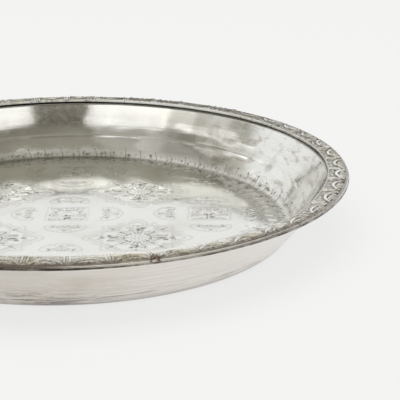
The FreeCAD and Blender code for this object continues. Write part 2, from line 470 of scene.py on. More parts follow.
FRINGES, TONGUES = 84, 76
CREST_RIGHT, CREST, DIP = (0.60, 0.42), (0.60, 0.08), (0.70, 1.0)
VEIN, TICK = (0.35, 0.45), (0.48, 0.95)
for step in range(FRINGES):
    angle = 360.0 * (step + hand.uniform(-0.18, 0.18)) / FRINGES
    on_cove(radial(angle, 142.0, hand.uniform(149.5, 152.5), hand.normal(0, 0.5)), LINE)
    on_cove(radial(angle + 1.4, 144.5, hand.uniform(147.5, 149.0)), FAINT)
FOOT, TIP = 155.0, 168.0
for step in range(TONGUES):
    angle = 360.0 * (step + hand.uniform(-0.08, 0.08)) / TONGUES
    half = math.pi * FOOT / TONGUES
    top = TIP + hand.normal(0, 0.5)
    crest = cubic([(FOOT + 7, -half * 0.95), (top - 2, -half * 0.6), (top, 0),
                   (top - 2, half * 0.6), (FOOT + 7, half * 0.95)])
    facing = math.cos(math.radians(angle))
    on_cove(polar(angle, crest), CREST_RIGHT if facing > 0.8 else CREST)
    valley = angle + 180.0 / TONGUES
    dip = cubic([(FOOT - 2, 0.2), (FOOT + 2, -0.9), (FOOT + 6, -0.5),
                 (FOOT + hand.uniform(9, 11.5), 0.9)])
    on_cove(polar(valley, dip), DIP)
    for side in (-3.2, 2.6):
        vein = cubic([(FOOT + 0.5, side), (FOOT + 3.5, side * 0.8),
                      (FOOT + hand.uniform(5, 8), side * 0.75)], 2)
        on_cove(polar(angle, vein), VEIN)
    on_cove(radial(valley, FOOT - 2.5, FOOT + hand.uniform(0, 1.5)), DEEP)
    for _ in range(2):
        tick = angle + hand.uniform(-2.2, 2.2)
        low, high = FOOT + hand.uniform(0, 2), FOOT + hand.uniform(4.5, 7.5)
        on_cove(radial(tick, low, high), TICK)
print(len(strokes), "strokes in all")

# %% [markdown]
# ## Cutting the strokes into the sheet
# A Delaunay triangulation with fixed edges makes one flat net of triangles in which the
# two edges and the middle line of every stroke are edges, also where strokes cross. Then
# each point is lowered by the depth of the V at its place. The net reaches up to the
# lower wall, and is bent onto the section of the sheet by its distance from the centre.

# %% Outline of each stroke
NET_RADIUS = 171.0
NET_STEP = 4.0
TAPER = 1.6


def half_widths(points, width):
    """Half width along a stroke: full in the middle, and nothing at a free end."""
    steps = np.hypot(*np.diff(points, axis=0).T)
    run = np.concatenate([[0], np.cumsum(steps)])
    if np.allclose(points[0], points[-1], atol=0.02):
        return np.full(len(points), width / 2)
    from_end = np.minimum(run, run[-1] - run)
    taper = min(TAPER, run[-1] * 0.35)
    return width / 2 * np.clip(from_end / taper, 0, 1) ** 0.6


def offset_lines(points, half):
    """The stroke's two edges: its points moved sideways by the half width."""
    ahead = np.gradient(points, axis=0)
    ahead /= np.maximum(np.hypot(*ahead.T), 1e-9)[:, None]
    side = np.stack([-ahead[:, 1], ahead[:, 0]], axis=-1) * half[:, None]
    return points + side, points - side


net_points, net_edges, net_count, cuts = [], [], 0, []
for points, width, tone in strokes:
    half = half_widths(points, width)
    for line in (points, *offset_lines(points, half)):
        net_points.append(line)
        row = np.arange(net_count, net_count + len(line))
        net_edges.append(np.stack([row[:-1], row[1:]], axis=-1))
        net_count += len(line)
    cuts.append((points[:-1], points[1:], half[:-1], half[1:], np.full(len(points) - 1, tone)))
cut_start, cut_end, cut_from, cut_to, cut_tone = (np.concatenate(part) for part in zip(*cuts))

turns = np.linspace(0, 2 * math.pi, TURNS, endpoint=False)
row = np.arange(TURNS) + net_count
net_points.append(around(NET_RADIUS, turns))
net_edges.append(np.stack([row, np.roll(row, -1)], axis=-1))
lattice = np.arange(-NET_RADIUS, NET_RADIUS, NET_STEP)
lattice_x, lattice_y = np.meshgrid(lattice, lattice)
lattice_x = lattice_x + (np.arange(len(lattice)) % 2)[:, None] * NET_STEP / 2
inside = np.hypot(lattice_x, lattice_y) < FLOOR_RADIUS - 2
net_points.append(np.stack([lattice_x[inside], lattice_y[inside]], axis=-1))
cove_rows = np.concatenate([np.arange(FLOOR_RADIUS, FLOOR_RADIUS + 4.5, 0.7),
                            np.arange(FLOOR_RADIUS + 6, NET_RADIUS - 1, 2.0)])
cove_r, cove_a = np.meshgrid(cove_rows, turns[::2])
cove_a = cove_a + (np.arange(cove_r.shape[1]) % 2) * math.pi / TURNS
net_points.append(around(cove_r, cove_a).reshape(-1, 2))
net_points, net_edges = np.concatenate(net_points), np.concatenate(net_edges)
print(len(net_points), "points and", len(net_edges), "edges for the net")

# %% Triangulate
flat, _, net_faces, _, _, _ = delaunay_2d_cdt(
    [Vector(p) for p in net_points.tolist()], net_edges.tolist(), [], 0, 1e-4, False)
flat = np.array([tuple(p) for p in flat])
net_faces = np.array(net_faces)
print("net:", len(flat), "points,", len(net_faces), "triangles")

# %% Depth of the cut at each point
def cut_depth(points):
    """Depth of the deepest V at each point, and how dark the tarnish in it is.

    The distance to a stroke's piece is measured square to it. The depth is the half
    width there less that distance, times the V's slope, which is less in a faint line.
    Points are handled by tiles, so that each one meets only the strokes near it.
    """
    depth, dark = np.zeros(len(points)), np.zeros(len(points))
    tile = 12.0
    keys = np.floor(points / tile).astype(int)
    low = np.minimum(cut_start, cut_end) - 1.0
    high = np.maximum(cut_start, cut_end) + 1.0
    for key in np.unique(keys, axis=0):
        mine = np.flatnonzero((keys == key).all(axis=1))
        near = ((low < (key + 1) * tile) & (high > key * tile)).all(axis=1)
        if not near.any():
            continue
        a, b = cut_start[near], cut_end[near]
        run = b - a
        to_point = points[mine][:, None, :] - a[None]
        share = np.clip((to_point * run).sum(-1) / np.maximum((run ** 2).sum(-1), 1e-12), 0, 1)
        distance = np.hypot(*np.moveaxis(to_point - share[..., None] * run, -1, 0))
        half = cut_from[near] + share * (cut_to[near] - cut_from[near])
        slope = V_DEPTH * (0.02 + 0.98 * cut_tone[near] ** 2)
        depth[mine] = (np.maximum(half - distance, 0) * slope).max(axis=1)
        nearness = np.clip(1 - distance / np.maximum(half, 1e-3), 0, 1)
        dark[mine] = (nearness * cut_tone[near]).max(axis=1)
    return depth, dark


net_depth, net_cut = cut_depth(flat)
print("deepest cut %.2f mm, mean of cut points %.2f mm"
      % (net_depth.max(), net_depth[net_depth > 0].mean()))

# %% [markdown]
# ## The dish
# The engraved net, the rest of the wall, the flange, the folded hem and the underside
# are rings of one closed sheet. Hammering and use leave a sheet slightly uneven: slow
# waves a few hundredths of a millimetre high, which only show where the metal mirrors
# something. Both faces of the sheet get the same waves, so its thickness stays.

# %% Inner and outer section by distance
inner_r, inner_z = sheet_curve(SHEET, 60, 90, 20)
inner_steps = np.hypot(np.diff(inner_r), np.diff(inner_z))
inner_run = FLOOR_RADIUS + np.concatenate([[0], np.cumsum(inner_steps)])
inner_run = np.concatenate([[0], inner_run])
inner_r, inner_z = np.concatenate([[0], inner_r]), np.concatenate([[SHEET], inner_z])


def on_sheet(distance):
    """Radius, height and slope of the inner face at a distance along it from the axis."""
    r = np.interp(distance, inner_run, inner_r)
    z = np.interp(distance, inner_run, inner_z)
    step = 0.05
    rise, reach = (np.interp(distance + step, inner_run, side)
                   - np.interp(distance - step, inner_run, side) for side in (inner_z, inner_r))
    return r, z, np.arctan2(rise, reach)


def unevenness(x, y, z):
    """Waves of the sheet in mm: faint on the floor, stronger on the wall."""
    wall = np.clip((np.hypot(x, y) - 153.0) / 9.0, 0, 1)
    edge = np.clip((FLANGE_TOP - 1.0 - z) / 6.0, 0, 1)
    floor_part = 0.035 * waves(x, y, 21, 70.0) + 0.007 * waves(x, y, 22, 22.0)
    wall_part = 0.07 * waves(x + z, y - z, 23, 60.0) + 0.012 * waves(x - z, y + z, 24, 19.0)
    return (floor_part * (1 - wall) + wall_part * wall) * edge


def bent(points, depth):
    """Bend flat points onto the section, and move them into the metal by a depth."""
    distance = np.hypot(points[:, 0], points[:, 1])
    angle = np.arctan2(points[:, 1], points[:, 0])
    r, z, slope = on_sheet(distance)
    push = unevenness(r * np.cos(angle), r * np.sin(angle), z) - depth
    return around(r - push * np.sin(slope), angle, z + push * np.cos(slope))


print("inner face is %.1f mm long from axis to flange" % inner_run[-1])

# %% Rings of the sheet above the net and back to the base
NOSE, LIP, BEND_RUN = 1.2, 0.5, 4.0
bend_at = inner_run[-1] - BEND_RUN
up_r, up_z, up_slope = on_sheet(np.concatenate([
    np.linspace(NET_RADIUS, bend_at, 13), np.linspace(bend_at, inner_run[-1], 6)[1:]]))
up_slope[-1] = 0.0
nose_angles = np.radians(np.linspace(90, -90, 9))
nose_r = RIM - NOSE + NOSE * np.cos(nose_angles)
nose_z = FLANGE_TOP - NOSE + NOSE * np.sin(nose_angles)
lip_angles = np.radians(np.linspace(-90, -180, 5))
lip_r = RIM - HEM_WIDTH + LIP + LIP * np.cos(lip_angles)
lip_z = FLANGE_TOP - 2 * NOSE + LIP + LIP * np.sin(lip_angles)
root_r, root_z = np.array([RIM - HEM_WIDTH]), np.array([FLANGE_TOP - SHEET])
under_r, under_z = (part[::-1] for part in sheet_curve(0.0, 7, 12, 5))
under_slope = np.arctan2(np.gradient(under_z), np.gradient(under_r))
base_r, base_z = np.array([150.0, 100.0, 40.0]), np.zeros(3)

ring_r = np.concatenate([up_r, nose_r, lip_r, root_r, under_r, base_r])
ring_z = np.concatenate([up_z, nose_z, lip_z, root_z, under_z, base_z])
flat_x, flat_y = np.outer(ring_r, np.cos(turns)), np.outer(ring_r, np.sin(turns))
push = unevenness(flat_x, flat_y, ring_z[:, None]) * (np.minimum(ring_z, 4.0) / 4.0)[:, None]
up, under = slice(len(up_r)), slice(-len(under_r) - len(base_r), -len(base_r))
slope, share = np.zeros(len(ring_r)), np.zeros(len(ring_r))
slope[up], slope[under] = up_slope, under_slope
share[up] = share[under] = 1.0
moved = share[:, None] * push
moved[0] = unevenness(flat_x[0], flat_y[0], ring_z[0])
rings = around(ring_r[:, None] - moved * np.sin(slope)[:, None], turns,
               ring_z[:, None] + moved * np.cos(slope)[:, None])
print(len(ring_r), "rings of", TURNS, "points")

# %% Join net and rings into one closed sheet
net = bent(flat, net_depth)
on_ring = np.flatnonzero(np.abs(np.hypot(flat[:, 0], flat[:, 1]) - NET_RADIUS) < 1e-3)
turn_of = np.arctan2(flat[on_ring, 1], flat[on_ring, 0]) * TURNS / (2 * math.pi)
turn_of = np.round(turn_of).astype(int)
points = np.concatenate([net, rings[1:].reshape(-1, 3), [[0, 0, 0]]])
point_of = np.arange(len(ring_r) * TURNS) - TURNS + len(net)
point_of[turn_of % TURNS] = on_ring
quads = point_of[grid_faces(len(ring_r), TURNS, True)[:, ::-1]]
last = point_of[-TURNS:]
fan = np.stack([np.roll(last, -1), last, np.full(TURNS, len(points) - 1)], axis=-1)
dish = add_piece("dish_sheet", points, net_faces.tolist() + fan.tolist() + quads.tolist(), 22)
add_numbers(dish, "cut", np.concatenate([net_cut, np.zeros(len(points) - len(net))]))


def open_edges(piece):
    """Edges that don't belong to exactly two faces: a closed mesh has none."""
    edges = np.empty(len(piece.data.loops), dtype=np.int32)
    piece.data.loops.foreach_get("edge_index", edges)
    return int((np.bincount(edges, minlength=len(piece.data.edges)) != 2).sum())


def signed_volume(piece):
    """Volume in cubic cm by the divergence theorem: positive where faces look outwards."""
    piece.data.calc_loop_triangles()
    corners = np.empty(len(piece.data.loop_triangles) * 3, dtype=np.int32)
    piece.data.loop_triangles.foreach_get("vertices", corners)
    place_of = np.empty(len(piece.data.vertices) * 3)
    piece.data.vertices.foreach_get("co", place_of)
    a, b, c = np.moveaxis(place_of.reshape(-1, 3)[corners.reshape(-1, 3)], 1, 0)
    return float((a * np.cross(b, c)).sum() / 6 * 1e6)


print("dish: open edges", open_edges(dish), "volume %.1f cm3" % signed_volume(dish),
      "triangles", len(dish.data.loop_triangles))

# %% [markdown]
# ## The cast rim
# The strips are cast from one pattern, so they repeat a motif 7.5 degrees long: three
# bars, a swag that hangs towards the outer edge between them, a cushion with a shell and
# two curls inside the swag, and a leaf pair under it. Wear and casting leave no two alike.
# The top is a height over two parameters, along and across the band, and each part of the
# motif is a rounded ridge over its middle line. The rest of the section closes the strip.

# %% Motif of the cast rim
REPEATS, FIRST_JOINT, JOINT_GAP = 48, 290.4, 0.5
BAND = CASTING_OUT - CASTING_IN
MIDDLE = (CASTING_IN + CASTING_OUT) / 2
PITCH = 2 * math.pi * MIDDLE / REPEATS
print("one motif is %.1f mm long, the band is %.1f mm wide" % (PITCH, BAND))


# %% Ridges
def ridge(distance, half, height):
    """Rounded ridge: a half ellipse over its middle line."""
    return height * np.sqrt(np.clip(1 - (distance / half) ** 2, 0, 1))


def to_line(u, v, line):
    """Distance from each (u, v) to a line of points, and the share of the way along it."""
    best, share_best = np.full(u.shape, 99.0), np.zeros(u.shape)
    a, run = line[:-1], np.diff(line, axis=0)
    for index in range(len(run)):
        du, dv = u - a[index, 0], v - a[index, 1]
        share = np.clip((du * run[index, 0] + dv * run[index, 1]) / (run[index] ** 2).sum(), 0, 1)
        distance = np.hypot(du - share * run[index, 0], dv - share * run[index, 1])
        closer = distance < best
        best = np.where(closer, distance, best)
        share_best = np.where(closer, (index + share) / len(run), share_best)
    return best, share_best


print("a ridge 1 mm high and 1 mm from its edge:", ridge(np.array([0.0, 1.0]), 2.0, 1.0).round(2))


# %% Relief of one motif
def relief(u, v):
    """Height of the motif over the ground, for u from its middle and v from the inner edge.

    The highest of all ridges counts. The swag is a parabola, thick in the middle and thin
    at its ends; the bars and the leaves are straight; the curls are spirals.
    """
    ridges = [np.zeros(u.shape)]

    def lay(line, half, height, thinner=0.0):
        distance, share = to_line(u, v, line)
        ridges.append(ridge(distance, half - thinner * share, height))

    for side in (-1, 1):
        for step in (0.0, 1.95):
            low, high = side * (PITCH / 2 - step), side * (PITCH / 2 - 0.85 * step)
            lay(np.array([(low, 1.8), (high, 9.6)]), 0.66, 1.0)
        lay(cubic([(side * 0.9, 2.9), (side * 2.8, 4.1), (side * 5.8, 4.5)], 4), 0.85, 0.6, 0.35)
        lay(cubic([(side * 6.8, 3.2), (side * 7.7, 5.2), (side * 9.2, 6.8)], 4), 0.75, 0.6, 0.3)
        lay(curl(side * 4.3, 11.0, 1.6, 90 + side * 90, -side * 400, 0.35, 14), 0.5, 1.1)
    swag, share = to_line(u, v, cubic([(-10.0, 12.6), (-8.0, 10.2), (-4.4, 7.6), (0, 6.5),
                                       (4.4, 7.6), (8.0, 10.2), (10.0, 12.6)], 4))
    ridges.append(ridge(swag, 0.45 + 0.65 * np.sin(math.pi * share), 1.6))
    ridges.append(ridge(np.hypot(u / 6.6, (v - 11.3) / 3.2), 1.0, 0.7))
    rays = 1 + 0.12 * np.cos(7 * np.arctan2(u, 12.6 - v))
    ridges.append(ridge(np.hypot(u / 1.8, (v - 11.4) / 2.5), 1.0, 1.25 * rays))
    return np.maximum.reduce(ridges)


sample_u, sample_v = np.meshgrid(np.linspace(-10, 10, 81), np.linspace(0, BAND, 61))
print("relief covers %.0f percent of the ground" % (100 * (relief(sample_u, sample_v) > 0).mean()))

# %% Height over the whole band
LAND, BEAD = 2.3, 1.6
GROUND_HIGH, GROUND_FALL, GROUND_BULGE = 1.8, 0.7, 0.35


def band_height(u, v, angle):
    """Top of the strip over the flange: land, ground, relief and bead.

    The ground leans outwards, from 1.8 mm high behind the land to 1.1 mm at the bead, and
    bulges a little on the way. No two repeats are worn or placed quite alike.
    """
    across = np.clip((v - 1.5) / 12.0, 0, 1)
    ground = GROUND_HIGH - GROUND_FALL * across + GROUND_BULGE * np.sin(math.pi * across)
    index = np.floor(u / PITCH)
    wear = 0.82 + 0.18 * np.sin(index * 2.4 + 1.0)
    shift = 0.3 * np.sin(index * 5.1)
    height = ground + relief(u - (index + 0.5) * PITCH + shift, v) * wear
    land = LAND * np.clip((1.9 - v) / 0.35, 0, 1) ** 0.5
    bead = BEAD * np.sqrt(np.clip(1 - ((v - BAND + 0.95) / 1.0) ** 2, 0, 1))
    height = np.maximum(np.maximum(height, land), bead)
    x, y = (CASTING_IN + v) * np.cos(angle), (CASTING_IN + v) * np.sin(angle)
    height = height + 0.05 * waves(x, y, 31, 6.0) + 0.015 * waves(x, y, 32, 2.2)
    rounding = np.minimum(v + 0.6, BAND - v)
    return np.minimum(height, 0.9 + 2.2 * np.sqrt(np.clip(rounding, 0, 3) / 1.1)), ground


def local_mean(values, reach):
    """Mean over a square of grid points, from differences of running sums."""
    for axis in (0, 1):
        count = values.shape[axis]
        sums = np.insert(np.cumsum(values, axis=axis), 0, 0.0, axis=axis)
        high = np.minimum(np.arange(count) + reach + 1, count)
        low = np.maximum(np.arange(count) - reach, 0)
        shape = [-1 if k == axis else 1 for k in (0, 1)]
        values = np.take(sums, high, axis) - np.take(sums, low, axis)
        values = values / (high - low).reshape(shape)
    return values


print("the ground is %.1f mm high at the land and %.1f mm at the bead"
      % (GROUND_HIGH, GROUND_HIGH - GROUND_FALL))

# %% One strip as a closed mesh
U_STEP, V_ROWS, V_START = 0.36, 50, 0.12
HEEL = np.array([[CASTING_OUT - 0.1, 0.45], [CASTING_OUT - 0.35, 0.0], [CASTING_IN + 1.3, 0.0],
                 [CASTING_IN + 0.5, 0.8], [CASTING_IN + 0.1, 0.95]])


def add_casting(name, first_repeat, repeats):
    """Strip from one butt joint to the next: its section carried round, with two end caps.

    The section is the height over the band, then the heel: the side, the flat underside
    and the undercut inner edge, as (radius, height) from the outside in. Rows across the
    band follow a cosine, so they lie closer together at both edges.
    """
    start = math.radians(FIRST_JOINT) + (first_repeat * PITCH + JOINT_GAP / 2) / MIDDLE
    length = repeats * PITCH - JOINT_GAP
    u = np.linspace(0, length, int(length / U_STEP)) + JOINT_GAP / 2
    rows_at = np.linspace(V_START, math.pi - V_START, V_ROWS)
    v = BAND * (0.5 - 0.5 * np.cos(rows_at) / math.cos(V_START))
    columns = len(u)
    uu, vv = np.meshgrid(u + first_repeat * PITCH, v)
    angle = start + (uu - first_repeat * PITCH - JOINT_GAP / 2) / MIDDLE
    height, ground = band_height(uu, vv, angle)
    height = np.minimum(height, RELIEF_TOP - FLANGE_TOP)
    wobble = 0.12 * waves(uu, uu * 0, 33, 30.0)
    top = np.stack([CASTING_IN + vv, height], axis=-1)
    top[..., 0] += wobble * np.clip(1 - vv / 3, 0, 1)
    heel = np.repeat(HEEL[:, None, :], columns, axis=1)
    heel[2:, :, 0] += wobble[0]
    section = np.concatenate([top, heel])
    rows = len(section)
    place_of = np.concatenate([angle, np.repeat(angle[:1], rows - V_ROWS, axis=0)])
    points = around(section[..., 0], place_of, FLANGE_TOP + section[..., 1]).reshape(-1, 3)
    quads = grid_faces(rows, columns, False).tolist()
    lower, upper = (rows - 1) * columns + np.arange(columns), np.arange(columns)
    quads += np.stack([lower[:-1], lower[1:], upper[1:], upper[:-1]], axis=-1).tolist()
    caps = [(np.arange(rows) * columns).tolist(),
            (np.arange(rows)[::-1] * columns + columns - 1).tolist()]
    strip = add_piece(name, points, [face[::-1] for face in quads] + caps, 50)
    inner_part = np.clip((vv - 0.6) / 1.2, 0, 1) * np.clip((BAND - 1.4 - vv) / 1.0, 0, 1)
    # hollow: how far a point lies below its neighbours; the material paints it dark, partly as
    # tarnish, partly as painted shade in the recesses
    hollow = (local_mean(height, 4) - height) / 0.28 * inner_part
    for key, on_top, on_heel in (
            ("lift", (height - ground) / 1.4, [0.4, 0.4, 0.4, 0.4, 0.4]),
            # on the heel, the outer side, the underside and the undercut inner edge get painted
            # shade through hollow
            ("hollow", hollow, [0.0, 0.5, 0.9, 0.9, 0.0]),
            ("lip", np.clip((vv - BAND + 2.8) / 1.2, 0, 1), [1.0, 1.0, 0.0, 0.0, 0.0]),
            ("across", vv / BAND, [1.0, 1.0, 0.0, 0.0, 0.0])):
        on_heel = np.repeat(np.array(on_heel)[:, None], columns, axis=1)
        add_numbers(strip, key, np.concatenate([on_top, on_heel]).reshape(-1))
    print("   open edges", open_edges(strip), "volume %.2f cm3" % signed_volume(strip))
    return strip


print("points along a full strip:", int((5 * PITCH - JOINT_GAP) / U_STEP))

# %% All strips round the rim
STRIP_REPEATS = (5, 5, 5, 5, 3, 5, 5, 5, 5, 5)
STRIP_STARTS = np.cumsum((0,) + STRIP_REPEATS[:-1]).tolist()
CLOSING = STRIP_REPEATS.index(3)
castings = {}
for index, (first, repeats) in enumerate(zip(STRIP_STARTS, STRIP_REPEATS)):
    node = ("rim_closing_casting" if index == CLOSING
            else "rim_casting_%d" % (index + 1 - (index > CLOSING)))
    name = node.replace("rim_", "").replace("casting", "cast_strip")
    castings[node] = add_casting(name, first, repeats)

# %% [markdown]
# ## Solder at the butt joints
# The gaps between the strips are filled with solder, wiped on by hand. Nine fillings are
# narrow and a little sunken. The tenth was mended: solder stands over it as a knot, with
# a coppery skin, out to the hem. All are lens-shaped lumps: a height over a rectangle that
# falls to nothing at its edges, closed by a flat underside.

# %% Solder lumps
def lump(angle, width, height, inner, outer, rough, seed):
    """Top and underside of one lump: height times the root of a round hump each way."""
    rows, columns = 34, 15
    a, v = np.meshgrid(np.linspace(-1, 1, columns), np.linspace(0, 1, rows))
    v_mm = inner + (outer - inner) * v
    hump = np.clip(1 - a ** 6, 0, 1) ** 0.5 * np.clip(1 - (2 * v - 1) ** 8, 0, 1) ** 0.5
    u_mm = a * width / 2 * (1 + 0.25 * waves(v_mm * 2, a * 0, seed, 5.0))
    top = hump * (height + rough * waves(u_mm * 2, v_mm * 2, seed + 1, 3.5))
    top = np.clip(top, 0, RELIEF_TOP - FLANGE_TOP)
    turn_by = math.radians(angle) + u_mm / MIDDLE
    sheets = [around(CASTING_IN + v_mm, turn_by, FLANGE_TOP + z + 0.001) for z in (top, top * 0)]
    points = np.concatenate(sheets).reshape(-1, 3)
    upper = grid_faces(rows, columns, False)
    border = np.concatenate([np.arange(columns), np.arange(1, rows) * columns + columns - 1,
                             (rows - 1) * columns + np.arange(columns - 1)[::-1],
                             np.arange(1, rows - 1)[::-1] * columns])
    under_of = np.arange(rows * columns) + rows * columns
    under_of[border] = border
    return points, upper[:, ::-1], under_of[upper]


KNOT = dict(width=7.0, height=2.3, inner=6.6, outer=BAND + 0.75, rough=0.45)
FILLING = dict(width=0.9, height=1.3, inner=0.5, outer=BAND - 0.3, rough=0.12)


def add_solder():
    """All fillings as one piece; the knot of the mended joint is the last."""
    points, faces, knot, count = [], [], [], 0
    for index, start in enumerate(STRIP_STARTS + [0]):
        mended = index == len(STRIP_STARTS)
        angle = FIRST_JOINT + start * 360.0 / REPEATS
        part, upper, under = lump(angle, **(KNOT if mended else FILLING), seed=50 + 3 * index)
        points.append(part)
        faces += (upper + count).tolist() + (under + count).tolist()
        knot.append(np.full(len(part), float(mended)))
        count += len(part)
    points, knot = np.concatenate(points), np.concatenate(knot)
    used = np.unique(np.concatenate([np.asarray(f) for f in faces]))
    number = np.full(len(points), -1)
    number[used] = np.arange(len(used))
    piece = add_piece("solder_fillings", points[used], number[np.asarray(faces)].tolist(), 60)
    add_numbers(piece, "knot", knot[used])
    print("   open edges", open_edges(piece), "volume %.2f cm3" % signed_volume(piece))
    return piece


solder = add_solder()

# %% [markdown]
# ## Materials
# Colours are written as sRGB hex values and turned to linear light by one function, and
# one small function adds a node of any kind. A finish is a base colour and a list of
# layers over it, as a painter would glaze a model. Each layer has a name, a colour, and
# parts whose product says how strongly it covers. All patterns read Object coordinates in
# metres, so a scale is one over a real size, and x, y and z say where on the tray a layer
# holds: x to the right, y to the back and z up.

# %% Colours, and nodes of any kind
def linear(hex_colour):
    """sRGB hex colour as linear RGBA: the sRGB curve undone for each channel."""
    values = [int(hex_colour[i:i + 2], 16) / 255 for i in (1, 3, 5)]
    return [v / 12.92 if v <= 0.04045 else ((v + 0.055) / 1.055) ** 2.4 for v in values] + [1.0]


def counted(material):
    """The material, after its nodes are counted."""
    print(material.name, len(material.node_tree.nodes), "nodes")
    return material


def set_stops(bar, stops):
    """Stops of a colour ramp, as (place, hex colour)."""
    while len(bar.elements) < len(stops):
        bar.elements.new(0.5)
    for element, (position, colour) in zip(bar.elements, stops):
        element.position, element.color = position, linear(colour)


def add_node(tree, kind, inputs=None, **settings):
    """Node of a kind, with its settings; an input gets a link or a constant.

    The kind is the type's name after ShaderNode. A socket is linked, and anything else is
    set as the input's constant.
    """
    node = tree.nodes.new("ShaderNode" + kind)
    for key, value in settings.items():
        if key == "stops":
            set_stops(node.color_ramp, value)
        else:
            setattr(node, key, value)
    for key, value in (inputs or {}).items():
        if isinstance(value, bpy.types.NodeSocket):
            tree.links.new(value, node.inputs[key])
        else:
            node.inputs[key].default_value = value
    return node


print("mid grey in linear light: %.3f" % linear("#808080")[0])


# %% A material, and patterns on it
def new_material(name, metallic=0.0):
    """Material with a Principled shader that is already linked to its output."""
    material = bpy.data.materials.new(name)
    material.use_nodes = True
    tree = material.node_tree
    tree.nodes.clear()
    shader = add_node(tree, "BsdfPrincipled")
    shader.inputs["Metallic"].default_value = metallic
    add_node(tree, "OutputMaterial", {"Surface": shader.outputs["BSDF"]})
    return material, tree, shader


def place_on(tree, kind="Object"):
    """Coordinates of one kind, as a vector and as its three numbers."""
    where = add_node(tree, "TexCoord").outputs[kind]
    return (where, *add_node(tree, "SeparateXYZ", {"Vector": where}).outputs)


def clouds(tree, size_mm, detail=3.0, roughness=0.55, stretch=(1, 1, 1)):
    """Cloudy pattern with blobs about size_mm across, squeezed by a factor on each axis."""
    mapped = add_node(tree, "Mapping", {"Vector": place_on(tree)[0], "Scale": stretch})
    return add_node(tree, "TexNoise", {"Vector": mapped.outputs["Vector"], "Detail": detail,
                                       "Scale": 1 / (size_mm * MM), "Roughness": roughness}
                    ).outputs["Fac"]


print("blobs of 55 mm have a scale of %.1f" % (1 / (55 * MM)))


# %% Layers
def combine(tree, operation, *parts):
    """All parts in turn multiplied, added or subtracted, as the operation says.

    A part is a socket, a number, or a line (source, start, end, first, last): it runs from
    first to last while its source runs from start to end, and stays level outside.
    """
    result = None
    for part in parts:
        if isinstance(part, tuple):
            names = ("Value", "From Min", "From Max", "To Min", "To Max")
            part = add_node(tree, "MapRange", dict(zip(names, part)), clamp=True).outputs["Result"]
        result = part if result is None else add_node(
            tree, "Math", {0: result, 1: part}, operation=operation).outputs["Value"]
    return result


def paint(tree, base, layers):
    """Lay each layer (name, colour, parts) over the base, by the product of its parts."""
    for name, colour, *parts in layers:
        over = colour if isinstance(colour, bpy.types.NodeSocket) else linear(colour)
        strength = combine(tree, "MULTIPLY", *parts)
        base = add_node(tree, "Mix", {0: strength, 6: base, 7: over}, data_type="RGBA",
                        label=name).outputs[2]
    return base


def finish_with(tree, shader, base, roughness, height, depth_mm):
    """Link the base colour, the roughness, and a bump of a height and its depth."""
    bump = add_node(tree, "Bump", {"Height": height, "Distance": depth_mm * MM, "Strength": 1.0})
    for key, socket in (("Base Color", base), ("Roughness", roughness),
                        ("Normal", bump.outputs["Normal"])):
        tree.links.new(socket, shader.inputs[key])


print("the parts of a layer are sockets, numbers or lines")
